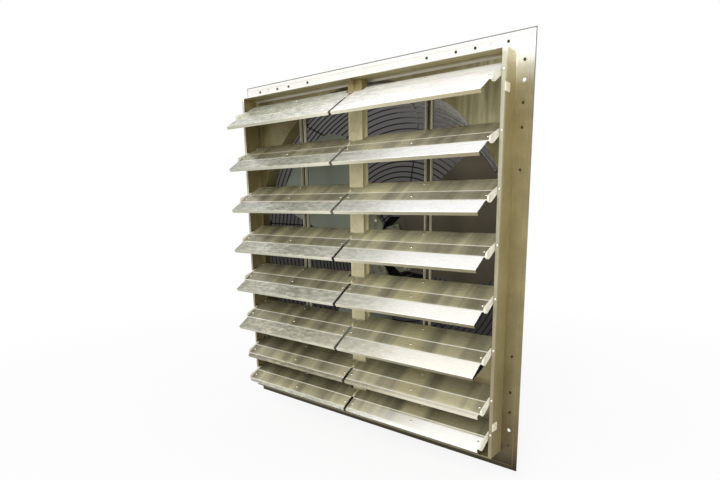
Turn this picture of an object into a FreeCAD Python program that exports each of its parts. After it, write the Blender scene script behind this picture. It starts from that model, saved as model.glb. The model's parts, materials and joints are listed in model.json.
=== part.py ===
import FreeCAD, Part
import math
import os

# Shutter exhaust fan. Millimetres. X runs to the right as seen from the louvres,
# Y runs from the louvres into the wall, Z is up. The wall plane is y = 0.

# Frame.
BOX_W = 890.0
BOX_H = 935.0
BOX_DEPTH = 56.0
SHEET = 1.2
FLANGE_W = 43.5
MITRE_GAP = 0.3
LIP_W = 8.5
LIP_BEND = 1.5
HEM_RUN = 6.0
RIDGE_IN = 9.5
RIDGE_W = 3.0
RIDGE_H = 0.8
ANGLE_T = 1.0
ANGLE_LEG = 10.0
ANGLE_LIP = 6.0

# Holes in the flange.
MOUNT_R = 4.5
SIDE_ROW_IN = 24.5
TOP_ROW_IN = 19.0
SIDE_MOUNT_IN = 59.5
TOP_MOUNT_IN = 62.0
SIDE_SCREWS_IN = [18.5, 106.5, 158.5, 249.5]
TOP_SCREWS_IN = [21.0, 103.0, 154.0, 236.0]
SCREW_R = 3.6
SCREW_H = 1.5

# Louvre rows.
HEAD_ROOM = 45.2
SILL_ROOM = 60.3
ROWS_EVEN = 7
LAST_PITCH = 88.5
PIVOT_BACK = 9.0
REST_SLOPE = 34.4
BLADE_T = 1.0
BACK_S = -38.3
BACK_N = 1.8
CREASE_1 = 14.6
CREASE_2 = 52.0
FACE_N = 5.2
TIP_DROP = 0.5
TIP_S = 96.1
TIP_S_ROW_7 = 61.0
TIP_S_ROW_8 = 56.5
HEM_LEN = 7.7
HEM_BEND = 1.6
NOTCH_S = -17.0
CENTRE_GAP = 5.0
NOTCH_CLEAR = 1.5
FRONT_CUT = 4.0

# Pivots.
PIN_R = 3.0
PIN_CLEAR = 0.06
PIN_SIDES = 10
TAB_T = 4.2
TAB_CLEAR = 0.8
TAB_BOSS_R = 5.6
TAB_END_R = 9.0
TAB_END = (-38.0, -20.5)
TAB_FOOT = 11.0
TAB_FOOT_T = 2.0
TAB_FOOT_S = (24.0, 48.0)
BLOCK_H = 15.0
BLOCK_BACK = 7.8
INNER_TAB_T = 4.0
INNER_TAB_R = 4.6
PLATE_T = 4.0
PLATE_H = 16.0
PLATE_NOSE = 8.0
PLATE_FOOT_W = 20.0
PIN_END_GAP = 0.2

# Mullion.
MULLION_W = 49.0
MULLION_FACE = 27.0
MULLION_DEEP = 15.0
MULLION_LIP = 6.0
GUSSET_T = 1.2
GUSSET_H = 26.0
GUSSET_REACH = 18.0

# Tie bars.
BAR_X = 224.0
BAR_W = 18.0
BAR_DEPTH = 12.0
BAR_PIN = (38.0, 10.0)
BAR_WEB_GAP = 5.8
BAR_END = 4.2
BAR_HOLE_OPEN = 0.3
BRACKET_T = 1.5
BRACKET_R = 4.6
BRACKET_S = (-34.0, -12.0)
PIN_PROUD = 0.8

# Lip rivets and corner plugs.
RIVET_R = 3.0
RIVET_H = 1.4
RIVET_IN = 4.5
PLUG_IN = 79.5
PLUG_H = 19.0
PLUG_D = 22.0
PLUG_T = 2.0

# Fan panel.
PANEL_T = 1.2
PANEL_IN = 1.0
ORIFICE_OVER = 22.0
COLLAR_DEEP = 40.0

# Guard.
WIRE = 4.0
RING_1_BACK = 4.2
RING_1_OUT = 0.4
GUARD_TAPER = 0.41
SIDE_RINGS = 4
SIDE_PITCH = 28.8
SHOULDER_IN = 73.0
SHOULDER_FRONT = 12.0
FACE_IN = 127.0
GUARD_BACK = 172.0
ROD_COUNT = 8
ROD_FIRST = 35.0
FACE_RING_IN = 6.0
FACE_RING_CLEAR = 5.0
FACE_PITCH = 54.0
RING_SIDES = 30
WELD = 0.4
CLIP_W = 20.0
CLIP_T = 1.8
CLIP_LEG = 26.0
CLIP_LIP = 7.0

# Motor.
MOTOR_R = 80.0
MOTOR_SIDES = 36
MOTOR_FRONT = 116.0
MOTOR_LEN = 146.0
BELL_LEN = 16.0
BELL_R = 60.0
BELL_RIM = 7.0
BELL_STEP = 3.0
MOUNT_RING_OUT = 115.0
MOUNT_RING_T = 3.0
MOUNT_RING_GAP = 3.0
LUG_COUNT = 4
LUG_W = 30.0
LUG_T = 5.0
LUG_OUT = 110.0
LUG_ROOT = 4.0
BOLT_AT = 98.0
BOLT_R = 6.0
BOLT_H = 5.0

# Propeller.
PROP_COUNT = 3
PROP_FIRST = 15.0
PROP_Y = 70.0
PROP_TIP_GAP = 33.0
PROP_ROOT = 66.0
PROP_ROOT_HALF = 66.0
PROP_HALF = 26.0
PROP_PITCH = 8.0
PROP_CAMBER = 10.0
PROP_T = 2.0
PROP_BEND_PAST = 20.0
PROP_LEAD_R = 130.0
PROP_TRAIL_R = 25.0
ARM_T = 4.0
ARM_LINE = [(20.0, 20.0), (54.0, 68.0), (98.0, 68.0)]
HUB_R = 30.0
HUB_LEN = 48.0
PROP_RIVETS = [(80.0, 56.0), (80.0, -56.0), (86.0, 0.0)]
PROP_RIVET_R = 5.0
PROP_RIVET_H = 2.5
SHAFT_R = 8.0
SHAFT_CLEAR = 0.05
SHAFT_PROUD = 6.0
SHAFT_DEEP = 4.0

# Shared positions.
HALF_W = BOX_W / 2.0
HALF_H = BOX_H / 2.0
FLANGE_BACK = -PANEL_T
FLANGE_FRONT = FLANGE_BACK - SHEET
FRONT = FLANGE_FRONT - BOX_DEPTH
PIVOT_Y = FRONT + PIVOT_BACK
SIDE_MOUNT_Z = HALF_H - SIDE_MOUNT_IN
TOP_MOUNT_X = HALF_W - TOP_MOUNT_IN
WEB_IN_X = HALF_W - SHEET
WEB_IN_Z = HALF_H - SHEET
LIP_IN_X = HALF_W - LIP_W
SIDE_HOLE_X = HALF_W + FLANGE_W - SIDE_ROW_IN
TOP_HOLE_Z = HALF_H + FLANGE_W - TOP_ROW_IN
MULLION_Y = FRONT + MULLION_FACE
BLADE_END = LIP_IN_X - TAB_CLEAR - TAB_T
BAR_PIN_Y = PIVOT_Y + BAR_PIN[0]
BAR_BACK = BAR_PIN_Y + BAR_WEB_GAP + SHEET
BAR_FRONT = BAR_BACK - BAR_DEPTH
ROW_PITCH = (BOX_H - HEAD_ROOM - SILL_ROOM - LAST_PITCH) / (ROWS_EVEN - 1)
ROWS = [HALF_H - HEAD_ROOM - ROW_PITCH * k for k in range(ROWS_EVEN)]
ROWS.append(ROWS[-1] - LAST_PITCH)
HUB_FRONT = PROP_Y - HUB_LEN / 2.0
SHAFT_FRONT = HUB_FRONT - SHAFT_PROUD
SHAFT_END = MOTOR_FRONT - SHAFT_DEEP
ORIFICE_R = min(HALF_W, HALF_H) + ORIFICE_OVER
COLLAR_OUT = ORIFICE_R + SHEET
FACE_R = ORIFICE_R - FACE_IN
SHOULDER = (ORIFICE_R - SHOULDER_IN, GUARD_BACK - SHOULDER_FRONT)
PROP_TIP = ORIFICE_R - PROP_TIP_GAP
PROP_BEND_LONG = PROP_TIP + PROP_BEND_PAST
PROP_BEND_HALF = PROP_BEND_LONG * math.tan(math.radians(PROP_HALF))
TIPS = [TIP_S] * (ROWS_EVEN - 1) + [TIP_S_ROW_7, TIP_S_ROW_8]

V = FreeCAD.Vector
os.makedirs("parts", exist_ok=True)


def box(x0, x1, y0, y1, z0, z1):
    return Part.makeBox(x1 - x0, y1 - y0, z1 - z0, V(x0, y0, z0))


def prism(points, axis, lo, hi):
    # A closed outline drawn across one axis and run along it.
    if axis == "x":
        line = [V(lo, a, b) for a, b in points]
        run = V(hi - lo, 0, 0)
    elif axis == "y":
        line = [V(a, lo, b) for a, b in points]
        run = V(0, hi - lo, 0)
    else:
        line = [V(a, b, lo) for a, b in points]
        run = V(0, 0, hi - lo)
    return Part.Face(Part.makePolygon(line + [line[0]])).extrude(run)


def ring_points(r, cx, cy, sides, start=0.0):
    step = 2.0 * math.pi / sides
    return [(cx + r * math.cos(start + step * i), cy + r * math.sin(start + step * i)) for i in range(sides)]


def small_pin(r, y, z, x0, x1):
    # Small pins and their holes are ten-sided, which keeps the mesh light.
    return prism(ring_points(r, y, z, PIN_SIDES), "x", x0, x1)


def small_hole(r, y, z, x0, x1):
    flat = r / math.cos(math.pi / PIN_SIDES)
    return prism(ring_points(flat, y, z, PIN_SIDES), "x", x0, x1)


def tube_cut(r, x, z, y0, y1):
    return Part.makeCylinder(r, y1 - y0, V(x, y0, z), V(0, 1, 0))


def join(pieces):
    whole = pieces[0]
    for piece in pieces[1:]:
        whole = whole.fuse(piece)
    return whole.removeSplitter()


def other_side(shape):
    return shape.mirror(V(0, 0, 0), V(1, 0, 0))


def save(name, shape):
    solids = shape if isinstance(shape, list) else [shape]
    solids = [s for item in solids for s in item.Solids]
    whole = solids[0] if len(solids) == 1 else Part.makeCompound(solids)
    whole.exportStep("parts/" + name + ".step")


def mount_holes():
    cuts = []
    for sx in (-1, 1):
        for sz in (-1, 1):
            for x, z in ((SIDE_HOLE_X, SIDE_MOUNT_Z), (TOP_MOUNT_X, TOP_HOLE_Z)):
                cuts.append(tube_cut(MOUNT_R, sx * x, sz * z, FLANGE_FRONT - SHEET, SHEET))
    return Part.makeCompound(cuts)


# Frame sides.
def strip_x(inner, outer, y0, y1):
    # A flat band of the right jamb between two distances from the box edge, mitred.
    a = HALF_H + inner - MITRE_GAP
    b = HALF_H + outer - MITRE_GAP
    line = [(HALF_W + inner, -a), (HALF_W + outer, -b), (HALF_W + outer, b), (HALF_W + inner, a)]
    return prism(line, "y", y0, y1)


def strip_z(inner, outer, y0, y1):
    a = HALF_W + inner - MITRE_GAP
    b = HALF_W + outer - MITRE_GAP
    line = [(-a, HALF_H + inner), (-b, HALF_H + outer), (b, HALF_H + outer), (a, HALF_H + inner)]
    return prism(line, "y", y0, y1)


def jamb():
    web = [
        (HALF_W, FLANGE_BACK),
        (HALF_W, FRONT + LIP_BEND),
        (HALF_W - LIP_BEND, FRONT),
        (LIP_IN_X + LIP_BEND / 2, FRONT),
        (LIP_IN_X, FRONT + LIP_BEND / 2),
        (LIP_IN_X, FRONT + SHEET),
        (WEB_IN_X, FRONT + SHEET),
        (WEB_IN_X, FLANGE_FRONT - ANGLE_LEG),
        (WEB_IN_X - ANGLE_T, FLANGE_FRONT - ANGLE_LEG),
        (WEB_IN_X - ANGLE_T, FLANGE_FRONT - ANGLE_T),
        (WEB_IN_X - ANGLE_LIP, FLANGE_FRONT - ANGLE_T),
        (WEB_IN_X - ANGLE_LIP, FLANGE_FRONT),
        (WEB_IN_X, FLANGE_FRONT),
        (WEB_IN_X, FLANGE_BACK),
    ]
    pieces = [
        prism(web, "z", -HALF_H, HALF_H),
        strip_x(-SHEET, FLANGE_W, FLANGE_FRONT, FLANGE_BACK),
        strip_x(FLANGE_W - RIDGE_IN - RIDGE_W, FLANGE_W - RIDGE_IN, FLANGE_FRONT - RIDGE_H, FLANGE_FRONT),
    ]
    # The inner angle stops under the head and over the sill.
    whole = join(pieces)
    for z0, z1 in ((WEB_IN_Z, HALF_H), (-HALF_H, -WEB_IN_Z)):
        whole = whole.cut(box(LIP_IN_X, WEB_IN_X, FRONT + SHEET, FLANGE_BACK, z0, z1))
    return whole


def head():
    web = [
        (FLANGE_BACK, HALF_H),
        (FRONT, HALF_H),
        (FRONT, WEB_IN_Z - SHEET),
        (FRONT + HEM_RUN, WEB_IN_Z - SHEET),
        (FRONT + HEM_RUN, WEB_IN_Z),
        (FLANGE_FRONT - ANGLE_LEG, WEB_IN_Z),
        (FLANGE_FRONT - ANGLE_LEG, WEB_IN_Z - ANGLE_T),
        (FLANGE_FRONT - ANGLE_T, WEB_IN_Z - ANGLE_T),
        (FLANGE_FRONT - ANGLE_T, WEB_IN_Z - ANGLE_LIP),
        (FLANGE_FRONT, WEB_IN_Z - ANGLE_LIP),
        (FLANGE_FRONT, WEB_IN_Z),
        (FLANGE_BACK, WEB_IN_Z),
    ]
    inside = WEB_IN_X
    body = prism(web, "x", -inside, inside)
    # The hem and the inner angle stop short of the jamb lips and angles.
    clear_lip = box(LIP_IN_X, inside + 1, FRONT - 1, FRONT + HEM_RUN + 1, 0, WEB_IN_Z)
    clear_front = box(LIP_IN_X, inside + 1, FRONT - 1, FRONT + SHEET, 0, HALF_H + 1)
    angle_x = inside - ANGLE_LIP
    clear_back = box(angle_x, inside + 1, FLANGE_FRONT - ANGLE_LEG - 1, FLANGE_FRONT, 0, WEB_IN_Z)
    for cut in (clear_lip, clear_front, clear_back):
        body = body.cut(cut).cut(other_side(cut))
    corner = box(WEB_IN_X, HALF_W + SHEET, FRONT, FLANGE_BACK + 1, 0, HALF_H)
    pieces = [
        body,
        strip_z(-SHEET, FLANGE_W, FLANGE_FRONT, FLANGE_BACK),
        strip_z(FLANGE_W - RIDGE_IN - RIDGE_W, FLANGE_W - RIDGE_IN, FLANGE_FRONT - RIDGE_H, FLANGE_FRONT),
    ]
    return join(pieces).cut(corner).cut(other_side(corner))


def build_frame():
    holes = mount_holes()
    right = jamb().cut(holes)
    top = head().cut(holes)
    save("frame_right", right)
    save("frame_left", other_side(right))
    save("frame_top", top)
    save("frame_bottom", top.mirror(V(0, 0, 0), V(0, 0, 1)))


# Mullion.
def build_mullion():
    half = MULLION_W / 2.0
    back = MULLION_Y + MULLION_DEEP
    right = [
        (half, MULLION_Y),
        (half, back - SHEET),
        (half + MULLION_LIP, back - SHEET),
        (half + MULLION_LIP, back),
        (half - SHEET, back),
        (half - SHEET, MULLION_Y + SHEET),
    ]
    left = [(-x, y) for x, y in reversed(right)]
    save("mullion", prism(right + left, "z", -WEB_IN_Z, WEB_IN_Z))
    line = [
        (MULLION_Y, WEB_IN_Z),
        (MULLION_Y, WEB_IN_Z - GUSSET_H),
        (MULLION_Y - GUSSET_REACH, WEB_IN_Z - SHEET * 2),
        (MULLION_Y - GUSSET_REACH, WEB_IN_Z),
    ]
    save("mullion_gusset", prism(line, "x", -GUSSET_T / 2, GUSSET_T / 2))


# Bearings.
def build_bearings():
    blocks = []
    plates = []
    for z in ROWS:
        block = box(LIP_IN_X, WEB_IN_X, FRONT + SHEET, PIVOT_Y + BLOCK_BACK, z - BLOCK_H / 2, z + BLOCK_H / 2)
        hole = small_hole(PIN_R + PIN_CLEAR, PIVOT_Y, z, LIP_IN_X - 1, WEB_IN_X - SHEET)
        block = block.cut(hole)
        blocks.append(block)
        blocks.append(other_side(block))
        nose = PIVOT_Y - PLATE_NOSE
        line = [
            (MULLION_Y, z + PLATE_H / 2),
            (nose + PLATE_NOSE / 2, z + PLATE_H / 2),
            (nose, z + PLATE_H / 4),
            (nose, z - PLATE_H / 4),
            (nose + PLATE_NOSE / 2, z - PLATE_H / 2),
            (MULLION_Y, z - PLATE_H / 2),
        ]
        plate = prism(line, "x", -PLATE_T / 2, PLATE_T / 2)
        foot = box(
            -PLATE_FOOT_W / 2, PLATE_FOOT_W / 2, MULLION_Y - SHEET, MULLION_Y, z - PLATE_H / 2, z + PLATE_H / 2
        )
        hole = small_hole(PIN_R + PIN_CLEAR, PIVOT_Y, z, -PLATE_T, PLATE_T)
        plates.append(join([plate, foot]).cut(hole))
    save("jamb_bearings", blocks)
    save("centre_bearings", plates)


def build_lip_fittings():
    rivets = []
    for z in ROWS:
        x = HALF_W - RIVET_IN
        low = prism(ring_points(RIVET_R, x, z, 6), "y", FRONT - RIVET_H, FRONT)
        rivets.append(low)
        rivets.append(other_side(low))
    save("lip_rivets", rivets)
    plugs = []
    for z in (PLUG_IN - HALF_H, HALF_H - PLUG_IN):
        y0 = FRONT + LIP_BEND
        plug = box(HALF_W, HALF_W + PLUG_T, y0, y0 + PLUG_D, z - PLUG_H / 2, z + PLUG_H / 2)
        plugs.append(plug)
        plugs.append(other_side(plug))
    save("corner_plugs", plugs)


# Louvre blades.
def on_blade(s, n):
    # Blade coordinates to y, z from the pivot: s toward the tip, n out of the upper face.
    a = math.radians(REST_SLOPE)
    y = -s * math.cos(a) - n * math.sin(a)
    z = -s * math.sin(a) + n * math.cos(a)
    return (y, z)


def back_n(s):
    return BACK_N + (FACE_N - BACK_N) * (s - BACK_S) / (CREASE_1 - BACK_S)


def tip_n(s):
    return FACE_N - TIP_DROP * max(0.0, s - CREASE_2) / (TIP_S - CREASE_2)


def blade_line(points, z):
    line = []
    for s, n in points:
        y, up = on_blade(s, n)
        line.append((PIVOT_Y + y, z + up))
    return line


def blade_sheet(z, tip):
    outer = BLADE_END
    top = tip_n(tip) + BLADE_T
    low = top - HEM_LEN - BLADE_T
    mid = min(CREASE_2, tip - HEM_BEND * 3)
    back = [
        (BACK_S, BACK_N),
        (BACK_S, BACK_N + BLADE_T),
        (NOTCH_S, back_n(NOTCH_S) + BLADE_T),
        (NOTCH_S, back_n(NOTCH_S)),
    ]
    middle = [
        (NOTCH_S, back_n(NOTCH_S)),
        (NOTCH_S, back_n(NOTCH_S) + BLADE_T),
        (CREASE_1, FACE_N + BLADE_T),
        (mid, FACE_N + BLADE_T),
        (mid, FACE_N),
        (CREASE_1, FACE_N),
    ]
    front = [
        (mid, FACE_N),
        (mid, FACE_N + BLADE_T),
        (tip - HEM_BEND, top),
        (tip, top - HEM_BEND * 0.4),
        (tip + BLADE_T, top - HEM_BEND),
        (tip + BLADE_T, low),
        (tip, low),
        (tip, top - HEM_BEND - BLADE_T),
        (tip - HEM_BEND, top - BLADE_T),
    ]
    notch_x = MULLION_W / 2.0 + MULLION_LIP + NOTCH_CLEAR
    pieces = [
        prism(blade_line(back, z), "x", notch_x, outer),
        prism(blade_line(middle, z), "x", CENTRE_GAP, outer),
        prism(blade_line(front, z), "x", CENTRE_GAP, outer - FRONT_CUT),
    ]
    return join(pieces)


def bracket(z):
    py = BAR_PIN_Y
    pz = z + BAR_PIN[1]
    r = BRACKET_R
    under = [(s, back_n(s)) for s in BRACKET_S]
    a, b = blade_line(under, z)
    line = [a, b, (py - r * 0.6, pz - r * 0.8), (py + r * 0.5, pz - r * 0.87), (py + r, pz), (py + r * 0.7, pz + r)]
    plate = prism(line, "x", BAR_X - BRACKET_T / 2, BAR_X + BRACKET_T / 2)
    reach = BAR_W / 2 + PIN_PROUD
    return join([plate, small_pin(PIN_R, py, pz, BAR_X - reach, BAR_X + reach)])


def outer_tab(z):
    bx, bz = PIVOT_Y, z
    ex, ez = PIVOT_Y + TAB_END[0], z + TAB_END[1]
    lean = math.atan2(ez - bz, ex - bx)
    side = math.pi / 2
    line = []
    for k in range(5):
        a = lean + side + math.pi * k / 4
        line.append((bx + TAB_BOSS_R * math.cos(a), bz + TAB_BOSS_R * math.sin(a)))
    for k in range(8):
        a = lean - side + math.pi * k / 7
        line.append((ex + TAB_END_R * math.cos(a), ez + TAB_END_R * math.sin(a)))
    plate = prism(line, "x", BLADE_END, BLADE_END + TAB_T)
    s0, s1 = TAB_FOOT_S
    foot = [(s0, FACE_N - TAB_FOOT_T), (s0, FACE_N), (s1, FACE_N), (s1, FACE_N - TAB_FOOT_T)]
    foot = prism(blade_line(foot, z), "x", BLADE_END - TAB_FOOT, BLADE_END + TAB_T / 2)
    pin = small_pin(PIN_R, PIVOT_Y, z, BLADE_END + TAB_T / 2, WEB_IN_X - SHEET - PIN_END_GAP)
    return join([plate, foot, pin])


def inner_tab(z):
    s = CREASE_1 - 1.0
    low = INNER_TAB_R * 0.7
    line = blade_line([(-s, back_n(-s)), (s, back_n(s)), (low, -low), (0.0, -INNER_TAB_R), (-low, -low)], z)
    plate = prism(line, "x", CENTRE_GAP, CENTRE_GAP + INNER_TAB_T)
    pin = small_pin(PIN_R, PIVOT_Y, z, PIN_END_GAP, CENTRE_GAP + INNER_TAB_T / 2)
    return join([plate, pin])


def build_blades():
    for k, z in enumerate(ROWS):
        sheet = join([blade_sheet(z, TIPS[k]), bracket(z)])
        tabs = [outer_tab(z), inner_tab(z)]
        number = str(k + 1)
        save("blade_right_" + number, sheet)
        save("blade_left_" + number, other_side(sheet))
        save("blade_ends_right_" + number, tabs)
        save("blade_ends_left_" + number, [other_side(t) for t in tabs])


def build_tie_bars():
    z1 = ROWS[0] + BAR_PIN[1] + BAR_END
    z0 = ROWS[-1] + BAR_PIN[1] - BAR_END
    half = BAR_W / 2.0
    line = [
        (BAR_X - half, BAR_FRONT),
        (BAR_X - half, BAR_BACK),
        (BAR_X + half, BAR_BACK),
        (BAR_X + half, BAR_FRONT),
        (BAR_X + half - SHEET, BAR_FRONT),
        (BAR_X + half - SHEET, BAR_BACK - SHEET),
        (BAR_X - half + SHEET, BAR_BACK - SHEET),
        (BAR_X - half + SHEET, BAR_FRONT),
    ]
    bar = prism(line, "z", z0, z1)
    for k, z in enumerate(ROWS):
        slack = PIN_CLEAR if k == 0 else BAR_HOLE_OPEN
        hole = small_hole(PIN_R + slack, BAR_PIN_Y, z + BAR_PIN[1], BAR_X - BAR_W, BAR_X + BAR_W)
        bar = bar.cut(hole)
    save("tie_bar_right", bar)
    save("tie_bar_left", other_side(bar))


# Fan panel and its screws.
def build_panel():
    half_x = HALF_W + FLANGE_W - PANEL_IN
    half_z = HALF_H + FLANGE_W - PANEL_IN
    plate = box(-half_x, half_x, FLANGE_BACK, 0, -half_z, half_z)
    plate = plate.cut(tube_cut(ORIFICE_R, 0, 0, FLANGE_BACK - 1, 1))
    collar = tube_cut(COLLAR_OUT, 0, 0, FLANGE_BACK, COLLAR_DEEP)
    collar = collar.cut(tube_cut(ORIFICE_R, 0, 0, FLANGE_BACK - 1, COLLAR_DEEP + 1))
    save("fan_panel", join([plate, collar]).cut(mount_holes()))
    screws = []
    for x, z in screw_places():
        screws.append(prism(ring_points(SCREW_R, x, z, 6), "y", FLANGE_FRONT - SCREW_H, FLANGE_FRONT))
    save("panel_screws", screws)


def screw_places():
    places = []
    for sx in (-1, 1):
        for sz in (-1, 1):
            places += [(sx * SIDE_HOLE_X, sz * (HALF_H - run)) for run in SIDE_SCREWS_IN]
            places += [(sx * (HALF_W - run), sz * TOP_HOLE_Z) for run in TOP_SCREWS_IN]
    return places


# Guard.
def turned(shape, angle):
    whole = shape.copy()
    whole.rotate(V(0, 0, 0), V(0, 1, 0), -angle)
    return whole


def square_ring(inner, y0, sides):
    flat = math.cos(math.pi / sides)
    wide = prism(ring_points((inner + WIRE) / flat, 0, 0, sides), "y", y0, y0 + WIRE)
    return wide.cut(prism(ring_points(inner / flat, 0, 0, sides), "y", y0, y0 + WIRE))


def side_ring(number):
    # Centre of a ring on the tapered side, and of the rod just inside it.
    y = COLLAR_DEEP + RING_1_BACK + SIDE_PITCH * number
    r = ORIFICE_R + RING_1_OUT - GUARD_TAPER * SIDE_PITCH * number
    lean = math.atan(GUARD_TAPER)
    return (r, y), (r - WIRE * math.cos(lean), y - WIRE * math.sin(lean))


def rod_shape(line):
    # A square rod along a bent centre line, given as distance from the axis and depth.
    inner = []
    outer = []
    for i, (r, y) in enumerate(line):
        before = line[max(i - 1, 0)]
        after = line[min(i + 1, len(line) - 1)]
        turns = []
        for a, b in ((before, (r, y)), ((r, y), after)):
            long = math.hypot(b[0] - a[0], b[1] - a[1])
            if long > 0:
                turns.append(((b[1] - a[1]) / long, (a[0] - b[0]) / long))
        nr = sum(n[0] for n in turns) / len(turns)
        ny = sum(n[1] for n in turns) / len(turns)
        size = WIRE / 2 / (nr * nr + ny * ny)
        outer.append((r + nr * size, y + ny * size))
        inner.append((r - nr * size, y - ny * size))
    return prism(outer + inner[::-1], "z", -WIRE / 2, WIRE / 2)


def build_guard():
    clip_back = COLLAR_DEEP + CLIP_T
    first = side_ring(0)[1]
    last = side_ring(SIDE_RINGS - 1)[1]
    start = (first[0] + GUARD_TAPER * (first[1] - clip_back), clip_back)
    leg = rod_shape([start, last, SHOULDER, (FACE_R, GUARD_BACK + WIRE / 2)])
    leg = leg.cut(box(0, COLLAR_OUT, 0, clip_back, -WIRE, WIRE))
    leg = leg.cut(box(0, FACE_R, clip_back, GUARD_BACK * 2, -WIRE, WIRE))
    arm = box(MOTOR_R + MOUNT_RING_GAP + WIRE, FACE_R, GUARD_BACK, GUARD_BACK + WIRE, -WIRE / 2, WIRE / 2)
    half = CLIP_W / 2
    clip = box(ORIFICE_R, COLLAR_OUT + CLIP_T, clip_back - CLIP_LEG, clip_back, -half, half)
    clip = clip.cut(tube_cut(COLLAR_OUT, 0, 0, 0, COLLAR_DEEP))
    lip = box(COLLAR_OUT - CLIP_LIP, COLLAR_OUT + CLIP_T / 2, COLLAR_DEEP, clip_back, -half, half)
    clip = join([clip, lip])
    legs = []
    arms = []
    clips = []
    for k in range(ROD_COUNT):
        a = ROD_FIRST + 360.0 / ROD_COUNT * k
        legs.append(turned(leg, a))
        arms.append(turned(arm, a))
        clips.append(turned(clip, a))
    rings = [side_ring(i)[0] for i in range(SIDE_RINGS)]
    rings.append((SHOULDER[0] + WIRE / 2, SHOULDER[1] + WIRE - WELD))
    for r, y in rings:
        legs.append(square_ring(r - WIRE / 2, y - WIRE / 2, RING_SIDES))
    save("guard_side", join(legs))
    # Rings step outward from the motor ring, and one more closes the edge of the face.
    face_y = GUARD_BACK + WIRE - WELD
    edge = FACE_R - FACE_RING_IN
    arms.append(square_ring(edge, face_y, RING_SIDES))
    r = MOUNT_RING_OUT + FACE_RING_CLEAR
    while r < edge - FACE_PITCH / 2:
        arms.append(square_ring(r, face_y, RING_SIDES * 2 // 3))
        r += FACE_PITCH
    save("guard_face", join(arms))
    save("guard_clips", clips)


# Motor.
def bell(seam, out):
    # An end bell: a rim against the body and a smaller cap beyond it.
    rim = sorted((seam, seam + out * BELL_RIM))
    cap = sorted((seam, seam + out * BELL_LEN))
    rim = prism(ring_points(MOTOR_R - BELL_STEP, 0, 0, MOTOR_SIDES), "y", rim[0], rim[1])
    cap = prism(ring_points(BELL_R, 0, 0, MOTOR_SIDES), "y", cap[0], cap[1])
    return join([rim, cap])


def build_motor():
    y0 = GUARD_BACK + WIRE
    y1 = y0 + MOUNT_RING_T
    ring = prism(ring_points(MOUNT_RING_OUT, 0, 0, 8, math.pi / 8), "y", y0, y1)
    ring = ring.cut(prism(ring_points(MOTOR_R + MOUNT_RING_GAP, 0, 0, MOTOR_SIDES), "y", y0 - 1, y1 + 1))
    save("motor_mount", ring)
    body = prism(ring_points(MOTOR_R, 0, 0, MOTOR_SIDES), "y", MOTOR_FRONT, MOTOR_FRONT + MOTOR_LEN)
    lugs = []
    bolts = []
    for k in range(LUG_COUNT):
        a = 45.0 + 360.0 / LUG_COUNT * k
        lugs.append(turned(box(MOTOR_R - LUG_ROOT, LUG_OUT, y1, y1 + LUG_T, -LUG_W / 2, LUG_W / 2), a))
        bolt = prism(ring_points(BOLT_R, BOLT_AT, 0, 6), "y", y1 + LUG_T, y1 + LUG_T + BOLT_H)
        bolts.append(turned(bolt, a))
    save("motor_body", join([body] + lugs))
    save("motor_bolts", bolts)
    front = bell(MOTOR_FRONT, -1)
    front = front.cut(tube_cut(SHAFT_R + SHAFT_CLEAR, 0, 0, MOTOR_FRONT - BELL_LEN - 1, SHAFT_END + 1))
    end = MOTOR_FRONT + MOTOR_LEN
    rear = bell(end, 1)
    save("motor_bells", [front, rear])


# Propeller.
def bent_plate(y0, y1):
    # A plate bent round one radial line, shared by the blades and the arms.
    half = PROP_BEND_HALF
    wires = []
    corners = []
    for y in (y0, y1):
        low = V(0, y - PROP_CAMBER, -half)
        high = V(0, y - PROP_CAMBER, half)
        wires.append(Part.Arc(low, V(0, y, 0), high).toShape())
        corners.append((low, high))
    first = Part.makeLine(corners[0][0], corners[1][0])
    last = Part.makeLine(corners[0][1], corners[1][1])
    face = Part.Face(Part.Wire([wires[0], last, wires[1], first]))
    return face.extrude(V(PROP_BEND_LONG, 0, 0))


def pitched(shape):
    whole = shape.copy()
    whole.rotate(V(0, 0, 0), V(1, 0, 0), PROP_PITCH)
    whole.translate(V(0, PROP_Y, 0))
    return whole


def blade_outline():
    half = math.radians(PROP_HALF)
    a = V(PROP_ROOT, 0, -PROP_ROOT_HALF)
    b = V(PROP_TIP * math.cos(half), 0, -PROP_TIP * math.sin(half))
    c = V(PROP_TIP * math.cos(half), 0, PROP_TIP * math.sin(half))
    d = V(PROP_ROOT, 0, PROP_ROOT_HALF)
    tip = Part.Arc(b, V(PROP_TIP, 0, 0), c).toShape()
    wire = Part.Wire([Part.makeLine(a, b), tip, Part.makeLine(c, d), Part.makeLine(d, a)])
    block = Part.Face(wire).extrude(V(0, PROP_TIP, 0))
    for point, radius in ((b, PROP_LEAD_R), (c, PROP_TRAIL_R)):
        for edge in block.Edges:
            ends = [v.Point for v in edge.Vertexes]
            if len(ends) == 2 and all(abs(p.x - point.x) < 0.01 and abs(p.z - point.z) < 0.01 for p in ends):
                block = block.makeFillet(radius, [edge])
                break
    block.translate(V(0, -PROP_TIP / 2, 0))
    return block


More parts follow.
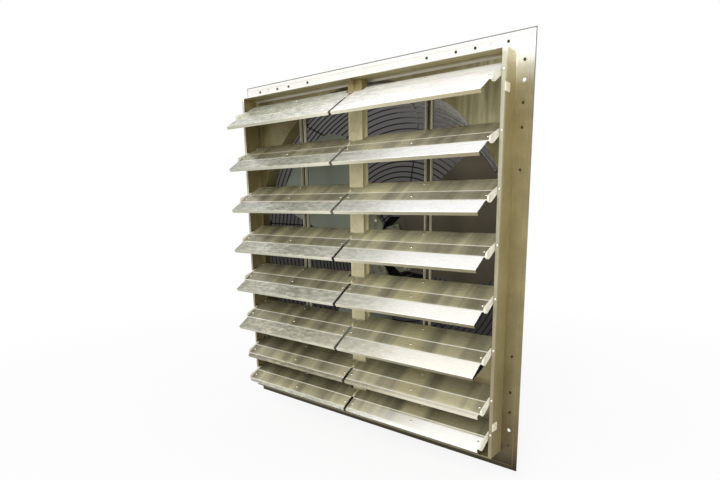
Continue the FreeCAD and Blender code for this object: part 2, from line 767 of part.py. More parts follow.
def build_propeller():
    blade = pitched(bent_plate(0.0, PROP_T).common(blade_outline()))
    line = [(x, -z) for x, z in ARM_LINE] + [(x, z) for x, z in reversed(ARM_LINE)]
    arm = pitched(bent_plate(-ARM_T, 0.0).common(prism(line, "y", -PROP_ROOT, PROP_ROOT)))
    arms = []
    rivets = []
    for k in range(PROP_COUNT):
        a = PROP_FIRST + 360.0 / PROP_COUNT * k
        save("propeller_blade_" + str(k + 1), turned(blade, a))
        arms.append(turned(arm, a))
        for x, z in PROP_RIVETS:
            rivet = prism(ring_points(PROP_RIVET_R, x, z, 6), "y", -ARM_T - PROP_RIVET_H, -ARM_T + 0.2)
            rivet.translate(V(0, -PROP_CAMBER * (z / PROP_BEND_HALF) ** 2, 0))
            rivets.append(turned(pitched(rivet), a))
    hub = tube_cut(HUB_R, 0, 0, HUB_FRONT, HUB_FRONT + HUB_LEN)
    spider = join([hub] + arms)
    spider = spider.cut(tube_cut(SHAFT_R, 0, 0, 0, SHAFT_END))
    save("hub_spider", spider)
    save("propeller_rivets", [r.cut(spider) for r in rivets])
    save("shaft", tube_cut(SHAFT_R, 0, 0, SHAFT_FRONT, SHAFT_END))


build_frame()
build_mullion()
build_bearings()
build_lip_fittings()
build_blades()
build_tie_bars()
build_panel()
build_guard()
build_motor()
build_propeller()
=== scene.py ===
import bpy
import json
import math
from mathutils import Matrix, Vector


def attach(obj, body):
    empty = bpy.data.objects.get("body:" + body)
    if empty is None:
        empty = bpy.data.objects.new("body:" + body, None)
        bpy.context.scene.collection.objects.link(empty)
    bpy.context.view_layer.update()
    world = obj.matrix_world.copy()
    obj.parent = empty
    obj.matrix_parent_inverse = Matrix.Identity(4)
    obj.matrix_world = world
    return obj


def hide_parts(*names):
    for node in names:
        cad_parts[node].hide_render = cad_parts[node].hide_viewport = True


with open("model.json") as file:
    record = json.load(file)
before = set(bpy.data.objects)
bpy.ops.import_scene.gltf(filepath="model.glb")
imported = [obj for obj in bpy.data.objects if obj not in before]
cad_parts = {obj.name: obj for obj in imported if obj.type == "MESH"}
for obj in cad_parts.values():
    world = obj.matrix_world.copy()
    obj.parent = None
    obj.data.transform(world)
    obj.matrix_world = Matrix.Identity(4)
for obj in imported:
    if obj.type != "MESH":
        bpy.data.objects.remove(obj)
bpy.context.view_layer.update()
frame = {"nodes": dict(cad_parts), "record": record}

MM = 0.001
MATERIALS = {}

# Sizes of the shutter, in millimetres, as in the solids.
ROWS = [422.3 - 123.5 * k for k in range(7)]
ROWS.append(ROWS[-1] - 88.5)
PIVOT_Y = -49.4
REST_SLOPE = math.radians(34.4)
COLLAR_R = 467.0

# A rod of the guard as distance from the axis and depth: clip, bend, shoulder, start of the face, inner end.
ROD_CLIP = (463.7, 42.0)
ROD_BEND = (431.5, 120.0)
ROD_SHOULDER = (409.6, 174.0)
ROD_FACE = (345.0, 174.0)
ROD_INNER = (88.0, 174.0)
ROD_COUNT = 8
ROD_FIRST_DEGREES = 35
ROD_THICK = 2.0
SIDE_STEPS = 12
BEND_STEPS = 16

# Rings of the guard.
RING_THICK = 1.9
RING_LIFT = 3.8
FIRST_RING = 3.0
SIDE_PITCH = 13.4
FACE_PITCH = 15.4
SIDE_PITCH_TO_Y = 125
SMALLEST_RING = 100
SMOOTH_FROM_R = 250

# Rivet heads: on a blade as distance from the mullion, along the blade and out of it.
RIVET_R = 3.4
BLADE_RIVET_H = 1.5
LIP_RIVET_H = 1.6
BLADE_RIVETS = ((14, 33, 6.1), (220, 33, 6.1), (421, 33, 6.1), (224, -25, 3.6), (424, -31, 3.2))
LIP_RIVET_X = 440.5
LIP_RIVET_Y = -58.4

# Bead on the collar's edge.
BEAD_OUT = 1.0
BEAD_Y = 38.6
BEAD_THICK = 1.4
BEAD_SIDES = 160

# Heights and depths between which the painted shades run, in metres.
SHADES_FOOT = -0.5
SHADES_TOP = 0.5
FLANGE_FROM = -0.0040
FLANGE_FULL = -0.0030

# Stage, in metres.
FLOOR_SIZE = 24
FLOOR_Z = -0.56
SHADOW_TO = 0.7
WHITE_FROM = 2.4
SHADOW_SHARE = 0.86
SHADE_CUT_X = 0.404
SHADE_HALF_HEIGHT = 0.45


# Camera.
def make_camera():
    bpy.ops.object.camera_add()
    camera = bpy.context.object
    camera.name = "photo_camera"
    turn = Vector((0.186465, 0.637052, 0.061686))
    spin = Matrix.Rotation(turn.length, 3, turn.normalized())
    axes = spin @ Matrix(((1, 0, 0), (0, 0, -1), (0, 1, 0)))
    right, down, ahead = axes[0], axes[1], axes[2]
    facing = Matrix((right, -down, -ahead)).transposed().to_4x4()
    camera.matrix_world = Matrix.Translation((0.945417, -1.102640, 0.137730)) @ facing
    camera.data.sensor_width = 36.0
    camera.data.lens = 25.244
    camera.data.shift_x = -0.05556
    camera.data.shift_y = 0.09031
    camera.data.clip_start = 0.05
    camera.data.clip_end = 60.0
    bpy.context.scene.camera = camera


# Material helpers.
def map_range(tree, value, ends):
    # A value carried from one range to another, held at both ends.
    made = tree.nodes.new("ShaderNodeMapRange")
    for key, number in zip(("From Min", "From Max", "To Min", "To Max"), ends):
        made.inputs[key].default_value = number
    tree.links.new(value, made.inputs["Value"])
    return made.outputs["Result"]


class Finish:
    def __init__(self, name):
        self.material = bpy.data.materials.new(name)
        self.material.use_nodes = True
        self.tree = self.material.node_tree
        self.shader = self.tree.nodes["Principled BSDF"]
        self.where = self.tree.nodes.new("ShaderNodeTexCoord").outputs["Object"]
        MATERIALS[name] = self.material

    def node(self, kind, **values):
        made = self.tree.nodes.new(kind)
        for key, value in values.items():
            if hasattr(made, key):
                setattr(made, key, value)
            else:
                made.inputs[key].default_value = value
        return made

    def link(self, out, socket):
        self.tree.links.new(out, socket)

    def grain(self, scale, stretch=(1, 1, 1), detail=4.0, rough=0.6):
        # Noise in object space, drawn out along the rolling direction.
        mapping = self.node("ShaderNodeMapping")
        mapping.inputs["Scale"].default_value = stretch
        self.link(self.where, mapping.inputs["Vector"])
        noise = self.node("ShaderNodeTexNoise", Scale=scale, Detail=detail, Roughness=rough)
        self.link(mapping.outputs["Vector"], noise.inputs["Vector"])
        return noise.outputs["Fac"]

    def ramp(self, fac, stops):
        # Colours along a value, each running straight into the next.
        ramp = self.node("ShaderNodeValToRGB")
        bands = ramp.color_ramp.elements
        while len(bands) < len(stops):
            bands.new(0.5)
        for band, (place, colour) in zip(bands, stops):
            band.position = place
            band.color = (*colour, 1)
        self.link(fac, ramp.inputs["Fac"])
        return ramp.outputs["Color"]

    def span(self, value, low, high, new_low=0.0, new_high=1.0):
        return map_range(self.tree, value, (low, high, new_low, new_high))

    def axis(self, name):
        split = self.node("ShaderNodeSeparateXYZ")
        self.link(self.where, split.inputs["Vector"])
        return split.outputs[name]

    def compute(self, operation, one, two=0.0):
        made = self.node("ShaderNodeMath", operation=operation)
        for place, value in enumerate((one, two)):
            if isinstance(value, (int, float)):
                made.inputs[place].default_value = value
            else:
                self.link(value, made.inputs[place])
        return made.outputs[0]

    def facing(self, name):
        # How far the surface of the piece as drawn faces along one axis.
        split = self.node("ShaderNodeSeparateXYZ")
        self.link(self.node("ShaderNodeTexCoord").outputs["Normal"], split.inputs["Vector"])
        return split.outputs[name]

    def blend(self, fac, one, two, mode="MIX"):
        made = self.node("ShaderNodeMix", data_type="RGBA", blend_type=mode)
        for value, key in ((fac, "Factor"), (one, "A"), (two, "B")):
            kind = "NodeSocketFloat" if key == "Factor" else "NodeSocketColor"
            socket = [s for s in made.inputs if s.name == key and s.bl_idname.startswith(kind)][0]
            if isinstance(value, (int, float)):
                socket.default_value = value
            elif isinstance(value, tuple):
                socket.default_value = (*value, 1)
            else:
                self.link(value, socket)
        return [s for s in made.outputs if s.bl_idname == "NodeSocketColor"][0]

    def bump(self, height, strength, distance):
        made = self.node("ShaderNodeBump", Strength=strength, Distance=distance)
        self.link(height, made.inputs["Height"])
        self.link(made.outputs["Normal"], self.shader.inputs["Normal"])

    def set(self, **values):
        for key, value in values.items():
            socket = self.shader.inputs[key.replace("_", " ")]
            if isinstance(value, (int, float)):
                socket.default_value = value
            elif isinstance(value, tuple):
                socket.default_value = (*value, 1)
            else:
                self.link(value, socket)


def shade(text):
    # A screen colour such as b9b08a as linear numbers.
    parts = [int(text[i:i + 2], 16) / 255 for i in (0, 2, 4)]
    return tuple(p / 12.92 if p < 0.04045 else ((p + 0.055) / 1.055) ** 2.4 for p in parts)


# Finishes.
def frame_finish():
    # Folded sheet, painted as it is lit in the photo: the flange near white at the top and dark at the foot.
    f = Finish("frame_sheet")
    z = f.axis("Z")
    height = f.span(z, SHADES_FOOT, SHADES_TOP)
    depth = f.axis("Y")
    flange = f.ramp(height, [(0.0, shade("3f3929")), (0.06, shade("75694f")), (0.2, shade("8f8562")),
                             (0.6, shade("9c916b")), (0.84, shade("928763")), (0.90, shade("979070")),
                             (0.935, shade("c6c3b2")), (0.963, shade("fbfaf6"))])
    # Painted light on the box sides and the lip as well: they change with height, the lip near white at the
    # top.
    side = f.ramp(height, [(0.0, shade("aa9d76")), (0.17, shade("a1946d")), (0.5, shade("a5996f")),
                           (0.83, shade("948861")), (1.0, shade("928760"))])
    lip = f.ramp(height, [(0.0, shade("958c70")), (0.17, shade("9b9275")), (0.5, shade("aaa287")),
                          (0.83, shade("b9b69f")), (0.955, shade("c3c1ac")), (0.966, shade("fbf9f0"))])
    # Painted shade on the underside of the head, in light and dark bands across its depth.
    head = f.ramp(f.span(depth, -0.057, -0.004), [
        (0.0, shade("8d8264")), (0.15, shade("9a8f6a")), (0.36, shade("b8ae86")), (0.5, shade("978c62")),
        (0.6, shade("cabf93")), (0.68, shade("8c8159")), (0.8, shade("9b9068")), (0.9, shade("cfc8aa"))])
    walls = f.blend(f.span(z, 0.4650, 0.4660), side, head)
    box = f.blend(f.span(depth, -0.0580, -0.0462), lip, walls)
    tone = f.blend(f.span(depth, FLANGE_FROM, FLANGE_FULL), box, flange)
    # A thin grey edge round the upper flange.
    beside = f.span(f.compute("ABSOLUTE", f.axis("X")), 0.4860, 0.4868)
    far = f.compute("MAXIMUM", beside, f.span(z, 0.5081, 0.5089))
    edge = f.compute("MULTIPLY", far, f.span(height, 0.45, 0.9))
    tone = f.blend(edge, tone, shade("84857f"))
    plain = f.span(height, 0.9, 0.96, 1.0, 0.25)
    cloudy = f.ramp(f.grain(13, detail=7, rough=0.65), [(0.3, (0.80, 0.79, 0.77)), (0.62, (1, 1, 1))])
    streaks = f.ramp(f.grain(26, (7, 7, 0.35)), [(0.32, (0.90, 0.90, 0.88)), (0.68, (1, 1, 1))])
    specks = f.ramp(f.grain(190, detail=2), [(0.30, (0.78, 0.76, 0.72)), (0.42, (1, 1, 1))])
    colour = f.blend(plain, f.blend(plain, tone, cloudy, "MULTIPLY"), streaks, "MULTIPLY")
    colour = f.blend(f.compute("MULTIPLY", plain, 0.4), colour, specks, "MULTIPLY")
    f.set(Base_Color=colour, Metallic=f.span(depth, FLANGE_FROM, FLANGE_FULL, 0.4, 0.75),
          Roughness=f.span(f.grain(45, detail=5), 0.3, 0.7, 0.3, 0.46))
    f.bump(f.grain(28, (3, 3, 0.6), 5.0), 0.14, 0.001)


def mullion_finish():
    f = Finish("mullion_sheet")
    tone = f.ramp(f.grain(12, (1, 1, 0.3), 6.0), [(0.3, shade("bdb48e")), (0.7, shade("d6ceab"))])
    # Painted shade: the mullion turns darker olive near its top.
    tone = f.blend(f.span(f.axis("Z"), 0.405, 0.430), tone, shade("8e8158"))
    worn = f.ramp(f.grain(70, detail=5), [(0.3, (0.86, 0.85, 0.82)), (0.5, (1, 1, 1))])
    f.set(Base_Color=f.blend(1.0, tone, worn, "MULTIPLY"), Metallic=0.4, Roughness=0.4)
    f.bump(f.grain(80, (3, 3, 0.3)), 0.12, 0.0005)


def blade_finish():
    # Bright rolled sheet in three strips: depth runs from the back edge to the hem, with a painted highlight
    # at each crease. Shades from left to right and from row to row are painted in. They are painted
    # reflections and painted shade on the bright sheet, fixed for the rest pose, so they don't follow the
    # louvres when these turn.
    f = Finish("blade_sheet")
    along = f.span(f.axis("Y"), -0.0188, -0.1325)
    across = f.span(f.axis("X"), -0.44, 0.44)
    height = f.span(f.axis("Z"), SHADES_FOOT, SHADES_TOP)
    back = f.ramp(across, [(0.0, shade("b4ae90")), (0.3, shade("b5b091")), (0.45, shade("c2bc9d")),
                           (0.65, shade("cdc9a9")), (1.0, shade("bcb698"))])
    by_row = f.ramp(height, [(0.0, (0.40, 0.39, 0.36)), (0.11, (0.45, 0.44, 0.41)), (0.3, (0.66, 0.65, 0.62)),
                             (0.5, (0.98, 0.98, 0.96)), (0.72, (1.0, 1.0, 0.99)), (0.78, (0.72, 0.71, 0.69))])
    back = f.blend(1.0, back, by_row, "MULTIPLY")
    middle = f.ramp(across, [(0.0, shade("8f8a72")), (0.1, shade("a09b82")), (0.3, shade("aaa58b")),
                             (0.55, shade("b9b59e")), (0.8, shade("bab59d")), (1.0, shade("aba68d"))])
    by_row = f.ramp(height, [(0.0, (1.2, 1.2, 1.18)), (0.2, (1.15, 1.14, 1.1)), (0.3, (0.88, 0.87, 0.83)),
                             (0.45, (0.85, 0.84, 0.80)), (0.65, (1, 1, 1))])
    middle = f.blend(1.0, middle, by_row, "MULTIPLY")
    front = f.ramp(across, [(0.0, shade("8f8e80")), (0.07, shade("a6a597")), (0.16, shade("b4b3a6")),
                            (0.34, shade("adad9f")), (0.45, shade("bdbcb0")), (0.56, shade("c6c5bc")),
                            (0.66, shade("dcdcd6")), (0.73, shade("f5f5f3")), (0.8, shade("fefefd"))])
    by_row = f.ramp(height, [(0.0, (1.05, 1.05, 1.0)), (0.105, (1.05, 1.05, 1.0)),
                             (0.125, (0.66, 0.62, 0.50)), (0.205, (0.66, 0.62, 0.50)),
                             (0.24, (0.98, 0.94, 0.85)), (0.4, (1, 0.99, 0.95)), (0.6, (1, 1, 1))])
    front = f.blend(1.0, front, by_row, "MULTIPLY")
    # Soft bands painted across the two rear strips in place of reflections.
    bands = f.ramp(f.grain(1.0, (16, 1.2, 1.2), 3.0),
                   [(0.34, (0.50, 0.49, 0.46)), (0.5, (0.95, 0.95, 0.93)), (0.6, (1.4, 1.39, 1.32))])
    rear = f.blend(f.span(along, 0.398, 0.406), back, middle)
    rear = f.blend(0.85, rear, bands, "MULTIPLY")
    # Painted reflection of the tie bar: a lighter patch on the rear strips of the lower rows.
    tie_bar_reflection = f.ramp(across, [(0.690, (0, 0, 0)), (0.705, (1, 1, 1)), (0.775, (1, 1, 1)), (0.800, (0, 0, 0))])
    tie_bar_reflection = f.compute("MULTIPLY", tie_bar_reflection, f.span(height, 0.56, 0.48, 0.0, 0.6))
    rear = f.blend(tie_bar_reflection, rear, shade("d9cfa2"))
    face = f.blend(f.span(along, 0.654, 0.662), rear, front)
    # The top row and the front of the lowest right one are painted near white, as a painted reflection of the
    # bright surroundings.
    sky_reflection = f.ramp(across, [(0.0, shade("b4b5a5")), (0.2, shade("c2c3b4")), (0.42, shade("dcdcd2")),
                          (0.56, shade("f6f6f2")), (1.0, shade("fefefd"))])
    top = f.span(height, 0.835, 0.845)
    foot = f.compute("MULTIPLY", f.span(height, 0.100, 0.085), f.span(across, 0.55, 0.8))
    foot = f.compute("MULTIPLY", foot, f.span(along, 0.418, 0.45))
    sky_reflection_mask = f.compute("MAXIMUM", top, foot)
    face = f.blend(f.compute("MULTIPLY", sky_reflection_mask, 0.9), face, sky_reflection)
    # Painted highlight along each crease.
    crease = f.ramp(along, [(0.390, (0, 0, 0)), (0.395, (1, 1, 1)), (0.409, (1, 1, 1)), (0.414, (0, 0, 0)),
                            (0.655, (0, 0, 0)), (0.660, (1, 1, 1)), (0.676, (1, 1, 1)), (0.684, (0, 0, 0))])
    face = f.blend(f.compute("MULTIPLY", crease, 0.75), face, shade("f8f6ea"))
    # Scuffed and mottled, most of all on the front strip of the left half.
    scuffs = f.ramp(f.grain(1.0, (42, 110, 110), 8.0, 0.7),
                    [(0.38, (0.58, 0.58, 0.57)), (0.5, (0.95, 0.95, 0.95)), (0.62, (1.45, 1.45, 1.42))])
    strength = f.ramp(across, [(0.3, (0.9, 0.9, 0.9)), (0.55, (0.5, 0.5, 0.5)), (0.75, (0.05, 0.05, 0.05))])
    strength = f.compute("MULTIPLY", strength, f.compute("MAXIMUM", f.span(along, 0.66, 0.70, 0.1, 1.0), top))
    face = f.blend(strength, face, scuffs, "MULTIPLY")
    hem = f.ramp(across, [(0.0, shade("aaab98")), (0.25, shade("b4b29f")), (0.48, shade("d2d0bc")),
                          (0.7, shade("aaa58c")), (1.0, shade("93886a"))])
    # Painted shade: on the right half the hem is darker toward the lower rows and lighter on the top row.
    hem_shade_by_row = f.ramp(height, [(0.0, (0.35, 0.34, 0.32)), (0.3, (0.55, 0.54, 0.5)), (0.8, (0.9, 0.9, 0.88)),
                             (0.86, (1.15, 1.15, 1.15))])
    hem = f.blend(f.span(across, 0.45, 0.8), hem, f.blend(1.0, hem, hem_shade_by_row, "MULTIPLY"))
    near_hem = f.span(along, 0.93, 0.94)
    turned = f.facing("Z")
    face = f.blend(f.compute("MULTIPLY", near_hem, f.span(turned, 0.55, 0.35)), face, hem)
    # Painted shade on the underside of the hem.
    face = f.blend(f.compute("MULTIPLY", near_hem, f.span(turned, -0.68, -0.75)), face, shade("4a4230"))
    shine = f.ramp(along, [(0.385, (0.38, 0.38, 0.38)), (0.393, (0.1, 0.1, 0.1)), (0.41, (0.1, 0.1, 0.1)),
                           (0.418, (0.5, 0.5, 0.5)), (0.60, (0.5, 0.5, 0.5)), (0.68, (0.2, 0.2, 0.2))])
    shine = f.blend(sky_reflection_mask, shine, (0.1, 0.1, 0.1))
    polish = f.span(f.grain(1.0, (8, 60, 60), 4.0), 0.3, 0.7, 0.22, 0.36)
    f.set(Base_Color=face, Metallic=shine, Roughness=polish)
    f.bump(f.grain(1.0, (9, 50, 50), 5.0), 0.12, 0.001)


def tie_bar_finish():
    # Light legs and a web painted dark, as if in their shadow.
    f = Finish("tie_bar_sheet")
    tone = f.ramp(f.grain(25, (2, 2, 0.3)), [(0.3, shade("cdc8ab")), (0.7, shade("e8e4d0"))])
    tone = f.blend(f.span(f.axis("Y"), -0.0085, -0.0062), tone, shade("4a3f29"))
    f.set(Base_Color=tone, Metallic=0.3, Roughness=0.38)
    f.bump(f.grain(90, (3, 3, 0.3)), 0.1, 0.0005)


def panel_finish():
    # Darker olive sheet with a stained look, painted shade along one fold line near each side and a lighter
    # upper corner painted as lit.
    f = Finish("panel_sheet")
    tone = f.ramp(f.grain(9, detail=6),
                  [(0.3, shade("6a6042")), (0.5, shade("857b56")), (0.72, shade("a0976f"))])
    # Painted light on the upper corner.
    lit_corner = f.compute("MULTIPLY", f.span(f.axis("Z"), 0.24, 0.36), f.span(f.axis("X"), 0.28, 0.33))
    light = f.ramp(f.grain(18, (3, 3, 0.3), 5.0), [(0.35, shade("7c7456")), (0.65, shade("bcb68f"))])
    tone = f.blend(lit_corner, tone, light)
    # Painted shade along a fold line near each side.
    reach = f.compute("ABSOLUTE", f.axis("X"))
    fold = f.ramp(f.span(reach, 0.40, 0.44), [(0.42, (1, 1, 1)), (0.5, (0.4, 0.38, 0.33)), (0.58, (1, 1, 1))])
    f.set(Base_Color=f.blend(0.8, tone, fold, "MULTIPLY"), Metallic=0.45, Roughness=0.38)
    f.bump(f.grain(60), 0.1, 0.0005)


def rivet_finish():
    # Bright heads on the louvres and the propeller, dull dark ones in the flange.
    f = Finish("rivet_metal")
    depth = f.span(f.axis("Y"), -0.06, 0.02)
    tone = f.ramp(depth, [(0.0, shade("e6e3d4")), (0.62, shade("e6e3d4")), (0.68, shade("544a34")),
                          (0.8, shade("544a34")), (0.9, shade("f0eee6")), (1.0, shade("f0eee6"))])
    worn = f.ramp(f.grain(300), [(0.35, (0.8, 0.8, 0.78)), (0.6, (1, 1, 1))])
    f.set(Base_Color=f.blend(1.0, tone, worn, "MULTIPLY"), Metallic=0.85, Roughness=0.24)


def wire_finish():
    # Black coated wire, painted light toward the upper right, where it shines in the photo.
    f = Finish("guard_wire")
    reach = f.compute("ADD", f.axis("X"), f.axis("Z"))
    lit = f.ramp(f.span(reach, 0.30, 0.62), [(0.0, shade("191919")), (0.3, shade("3c3a38")),
                                             (0.6, shade("c5c1b8")), (1.0, shade("f4f2ec"))])
    shine = f.span(reach, 0.40, 0.52, 0.15, 0.8)
    worn = f.ramp(f.grain(80, detail=5), [(0.35, (0.6, 0.6, 0.6)), (0.65, (1, 1, 1))])
    f.set(Base_Color=f.blend(1.0, lit, worn, "MULTIPLY"), Metallic=shine, Roughness=0.28)


def plain_finish(name, dark, light, metallic, rough, grain=60, bump=0.05):
    f = Finish(name)
    tone = f.ramp(f.grain(grain), [(0.35, shade(dark)), (0.65, shade(light))])
    f.set(Base_Color=tone, Metallic=metallic, Roughness=rough)
    f.bump(f.grain(grain * 4), bump, 0.0003)


def make_finishes():
    frame_finish()
    mullion_finish()
    blade_finish()
    tie_bar_finish()
    panel_finish()
    plain_finish("nylon_white", "d8d3c0", "efebdd", 0.0, 0.45)
    plain_finish("nylon_dark", "4b4533", "5d563f", 0.0, 0.5)
    plain_finish("tan_plastic", "d2c8a8", "efe9d2", 0.0, 0.45)
    rivet_finish()
    wire_finish()
    plain_finish("motor_paint", "1e1d1c", "37342f", 0.2, 0.4)
    plain_finish("spider_paint", "6c6a58", "a2a590", 0.5, 0.4)
    plain_finish("shaft_steel", "8a8a88", "b5b5b2", 0.9, 0.3)
    f = Finish("propeller_sheet")
    # Painted shade: the propeller runs from light grey-green on the left to dark brown on the right.
    side = f.span(f.axis("X"), -0.1, 0.1)
    tone = f.ramp(side, [(0.0, shade("9ca497")), (1.0, shade("564e3f"))])
    cloudy = f.ramp(f.grain(12, detail=6), [(0.3, (0.8, 0.8, 0.8)), (0.7, (1, 1, 1))])
    f.set(Base_Color=f.blend(1.0, tone, cloudy, "MULTIPLY"), Metallic=0.45, Roughness=0.42)


def dress_nodes():
    slots = {row["node"]: row["material_slot"] for row in frame["record"]["subparts"]}
    for name, node in frame["nodes"].items():
        node.data.materials.clear()
        node.data.materials.append(MATERIALS[slots[name]])


# Small modelling helpers.
def picked(items):
    bpy.ops.object.select_all(action="DESELECT")
    for item in items:
        item.select_set(True)
    bpy.context.view_layer.objects.active = items[0]


def finish_piece(items, name, slot, body):
    picked(items)
    if len(items) > 1:
        bpy.ops.object.join()
    piece = bpy.context.object
    bpy.ops.object.transform_apply(location=True, rotation=True, scale=True)
    bpy.ops.object.shade_smooth()
    piece.name = name
    piece.data.materials.clear()
    piece.data.materials.append(MATERIALS[slot])
    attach(piece, body)
    return piece


def ring(radius, y, thick, around=144, across=10):
    bpy.ops.mesh.primitive_torus_add(
        major_radius=radius * MM, minor_radius=thick * MM, major_segments=around, minor_segments=across,
        location=(0, y * MM, 0), rotation=(math.pi / 2, 0, 0))
    return bpy.context.object


def wire(points, thick):
    # A bent wire along a few points, its corners already rounded.
    bpy.ops.curve.primitive_nurbs_path_add()
    item = bpy.context.object
    path = item.data
    path.splines.clear()
    line = path.splines.new("POLY")
    line.points.add(len(points) - 1)
    for spot, place in zip(line.points, points):
        spot.co = (place[0] * MM, place[1] * MM, place[2] * MM, 1)
    path.bevel_depth = thick * MM
    path.bevel_resolution = 2
    path.use_fill_caps = True
    picked([item])
    bpy.ops.object.convert(target="MESH")
    return bpy.context.object


def dome(x, y, z, radius, height, lean):
    # A rivet head: a flattened half ball whose flat side faces the sheet.
    bpy.ops.mesh.primitive_uv_sphere_add(segments=16, ring_count=8, radius=1)
    item = bpy.context.object
    item.scale = (radius * MM, radius * MM, height * MM)
    item.rotation_euler = (lean, 0, 0)
    item.location = (x * MM, y * MM, z * MM)
    return item


def on_blade(s, n, row):
    y = PIVOT_Y - s * math.cos(REST_SLOPE) - n * math.sin(REST_SLOPE)
    z = row - s * math.sin(REST_SLOPE) + n * math.cos(REST_SLOPE)
    return y, z


# Guard.
def basket_line():
    # Centre line of a rod: tapered side, round shoulder, flat face.
    line = []
    for k in range(SIDE_STEPS):
        line.append(tuple(a + (b - a) * k / SIDE_STEPS for a, b in zip(ROD_CLIP, ROD_BEND)))
    for k in range(BEND_STEPS + 1):
        way = k / BEND_STEPS
        shares = ((1 - way) ** 2, 2 * way * (1 - way), way * way)
        corners = zip(ROD_BEND, ROD_SHOULDER, ROD_FACE)
        line.append(tuple(shares[0] * a + shares[1] * b + shares[2] * c for a, b, c in corners))
    line.append(ROD_INNER)
    return line


def ring_spots():
    # Rings lie on the outside of the rods, closer together on the side than on the face.
    line = basket_line()
    spots = []
    due = FIRST_RING
    for (r0, y0), (r1, y1) in zip(line, line[1:]):
        long = math.hypot(r1 - r0, y1 - y0)
        while due <= long:
            k = due / long
            r, y = r0 + (r1 - r0) * k, y0 + (y1 - y0) * k
            spots.append((r + RING_LIFT * (y1 - y0) / long, y - RING_LIFT * (r1 - r0) / long))
            due += SIDE_PITCH if y < SIDE_PITCH_TO_Y else FACE_PITCH
        due -= long
    return [spot for spot in spots if spot[0] > SMALLEST_RING]


def build_guard():
    side = []
    face = []
    for r, y in ring_spots():
        made = ring(r, y, RING_THICK, around=144 if r > SMOOTH_FROM_R else 72)
        (side if r > ROD_FACE[0] else face).append(made)
    line = basket_line()
    for k in range(ROD_COUNT):
        angle = math.radians(ROD_FIRST_DEGREES + 360 / ROD_COUNT * k)
        side.append(wire([(r * math.cos(angle), y, r * math.sin(angle)) for r, y in line], ROD_THICK))
    piece = finish_piece(side, "guard_side_wires", "guard_wire", "frame")
    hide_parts("guard_side")
    piece = finish_piece(face, "guard_face_wires", "guard_wire", "frame")
    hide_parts("guard_face")


# Rivets.
def build_blade_rivets():
    for side, sign in (("left", -1), ("right", 1)):
        for number, row in enumerate(ROWS, 1):
            heads = []
            for x, s, n in BLADE_RIVETS:
                y, z = on_blade(s, n, row)
                heads.append(dome(sign * x, y, z, RIVET_R, BLADE_RIVET_H, REST_SLOPE))
            name = "blade_rivets_" + side + "_" + str(number)
            finish_piece(heads, name, "rivet_metal", "louvre_" + side + "_" + str(number))


def build_lip_rivets():
    heads = []
    for sign in (-1, 1):
        for row in ROWS:
            heads.append(dome(sign * LIP_RIVET_X, LIP_RIVET_Y, row, RIVET_R, LIP_RIVET_H, math.pi / 2))
    piece = finish_piece(heads, "lip_rivet_heads", "rivet_metal", "frame")
    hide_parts("lip_rivets")


# Panel.
def build_collar_bead():
    bead = ring(COLLAR_R + BEAD_OUT, BEAD_Y, BEAD_THICK, BEAD_SIDES)
    finish_piece([bead], "collar_bead", "panel_sheet", "frame")


# Stage.
def empty_tree(owner):
    owner.use_nodes = True
    owner.node_tree.nodes.clear()
    return owner.node_tree


def mix_shaders(tree, share, one, two, kind):
    # One shader turning into the other by a share, as what the tree gives out.
    mix = tree.nodes.new("ShaderNodeMixShader")
    out = tree.nodes.new(kind)
    tree.links.new(share, mix.inputs[0])
    tree.links.new(one.outputs[0], mix.inputs[1])
    tree.links.new(two.outputs[0], mix.inputs[2])
    tree.links.new(mix.outputs[0], out.inputs["Surface"])


def seen_rays(tree, share):
    # The share of white for rays that see the surface: straight, mirrored or through.
    path = tree.nodes.new("ShaderNodeLightPath")
    seen = path.outputs["Is Camera Ray"]
    for ray in ("Is Glossy Ray", "Is Transmission Ray"):
        either = tree.nodes.new("ShaderNodeMath")
        either.operation = "MAXIMUM"
        tree.links.new(seen, either.inputs[0])
        tree.links.new(path.outputs[ray], either.inputs[1])
        seen = either.outputs[0]
    scale = tree.nodes.new("ShaderNodeMath")
    scale.operation = "MULTIPLY"
    tree.links.new(seen, scale.inputs[0])
    if isinstance(share, float):
        scale.inputs[1].default_value = share
    else:
        tree.links.new(share, scale.inputs[1])
    return scale.outputs[0]


def build_floor():
    # White away from the object, with its shadow kept near it.
    bpy.ops.mesh.primitive_plane_add(size=FLOOR_SIZE, location=(0, 0, FLOOR_Z))
    floor = bpy.context.object
    floor.name = "floor"
    material = bpy.data.materials.new("pale_floor")
    tree = empty_tree(material)
    matte = tree.nodes.new("ShaderNodeBsdfDiffuse")
    matte.inputs["Color"].default_value = (0.92, 0.92, 0.92, 1)
    glow = tree.nodes.new("ShaderNodeEmission")
    glow.inputs["Color"].default_value = (1, 1, 1, 1)
    where = tree.nodes.new("ShaderNodeTexCoord")
    away = tree.nodes.new("ShaderNodeVectorMath")
    away.operation = "LENGTH"
    tree.links.new(where.outputs["Object"], away.inputs[0])
    share = map_range(tree, away.outputs["Value"], (SHADOW_TO, WHITE_FROM, SHADOW_SHARE, 1.0))
    mix_shaders(tree, seen_rays(tree, share), matte, glow, "ShaderNodeOutputMaterial")
    floor.data.materials.append(material)


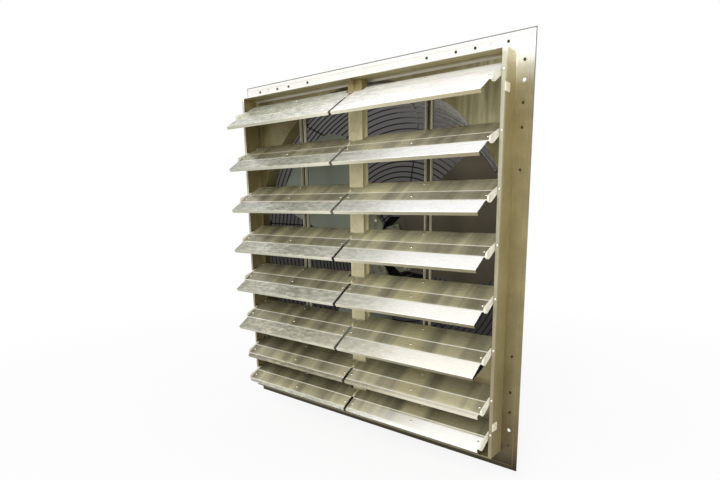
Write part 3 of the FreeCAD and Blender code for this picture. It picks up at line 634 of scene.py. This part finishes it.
def build_painted_shade():
    # Painted shade that shows behind the basket: a disc and part of a band that glow dark grey on the inside
    # only, lighter toward the top.
    bpy.ops.mesh.primitive_cone_add(
        vertices=96, radius1=0.478, radius2=0.417, depth=0.150, end_fill_type="NGON",
        location=(0, 0.116, 0), rotation=(-math.pi / 2, 0, 0))
    drum = bpy.context.object
    drum.name = "painted_shade_drum"
    bpy.ops.object.transform_apply(location=True, rotation=True, scale=True)
    bpy.ops.object.mode_set(mode="EDIT")
    bpy.ops.mesh.select_all(action="DESELECT")
    bpy.ops.object.mode_set(mode="OBJECT")
    for face in drum.data.polygons:
        face.select = face.center.y < 0.06 and abs(face.normal.y) > 0.9
    bpy.ops.object.mode_set(mode="EDIT")
    bpy.ops.mesh.select_mode(type="FACE")
    bpy.ops.mesh.delete(type="FACE")
    # The part that would show past the right edge of the flange is cut off.
    bpy.ops.mesh.select_all(action="SELECT")
    bpy.ops.mesh.bisect(plane_co=(SHADE_CUT_X, 0, 0), plane_no=(1, 0, 0), clear_outer=True)
    bpy.ops.mesh.select_all(action="SELECT")
    bpy.ops.mesh.flip_normals()
    bpy.ops.object.mode_set(mode="OBJECT")
    material = bpy.data.materials.new("painted_shade_drum")
    tree = empty_tree(material)
    glow = tree.nodes.new("ShaderNodeEmission")
    clear = tree.nodes.new("ShaderNodeBsdfTransparent")
    facing = tree.nodes.new("ShaderNodeNewGeometry")
    where = tree.nodes.new("ShaderNodeTexCoord")
    split = tree.nodes.new("ShaderNodeSeparateXYZ")
    ramp = tree.nodes.new("ShaderNodeValToRGB")
    ramp.color_ramp.elements[0].color = (*shade("242322"), 1)
    ramp.color_ramp.elements[1].color = (*shade("605e5c"), 1)
    middle = ramp.color_ramp.elements.new(0.55)
    middle.color = (*shade("403e3d"), 1)
    tree.links.new(where.outputs["Object"], split.inputs[0])
    height = map_range(tree, split.outputs["Z"], (-SHADE_HALF_HEIGHT, SHADE_HALF_HEIGHT, 0.0, 1.0))
    tree.links.new(height, ramp.inputs["Fac"])
    tree.links.new(ramp.outputs["Color"], glow.inputs["Color"])
    mix_shaders(tree, facing.outputs["Backfacing"], glow, clear, "ShaderNodeOutputMaterial")
    drum.data.materials.append(material)


# Light.
def soft_lamp(name, place, aim, size, power):
    bpy.ops.object.light_add(type="AREA", location=place)
    lamp = bpy.context.object
    lamp.name = name
    lamp.data.size = size
    lamp.data.energy = power
    lamp.rotation_euler = (Vector(aim) - Vector(place)).to_track_quat("-Z", "Y").to_euler()


def build_light():
    soft_lamp("key_lamp", (1.3, -2.8, 1.9), (0, -0.1, 0), 1.4, 78)
    soft_lamp("fill_lamp", (1.8, -2.8, 0.5), (0, 0, 0), 2.0, 22)
    world = bpy.data.worlds.new("pale_world")
    bpy.context.scene.world = world
    tree = empty_tree(world)
    soft = tree.nodes.new("ShaderNodeBackground")
    soft.inputs["Strength"].default_value = 0.6
    white = tree.nodes.new("ShaderNodeBackground")
    white.inputs["Strength"].default_value = 1.0
    for item in (soft, white):
        item.inputs["Color"].default_value = (1, 1, 1, 1)
    mix_shaders(tree, seen_rays(tree, 1.0), soft, white, "ShaderNodeOutputWorld")


make_camera()
make_finishes()
dress_nodes()
build_guard()
build_blade_rivets()
build_lip_rivets()
build_collar_bead()
build_floor()
build_painted_shade()
build_light()
bpy.context.scene.view_settings.view_transform = "Standard"
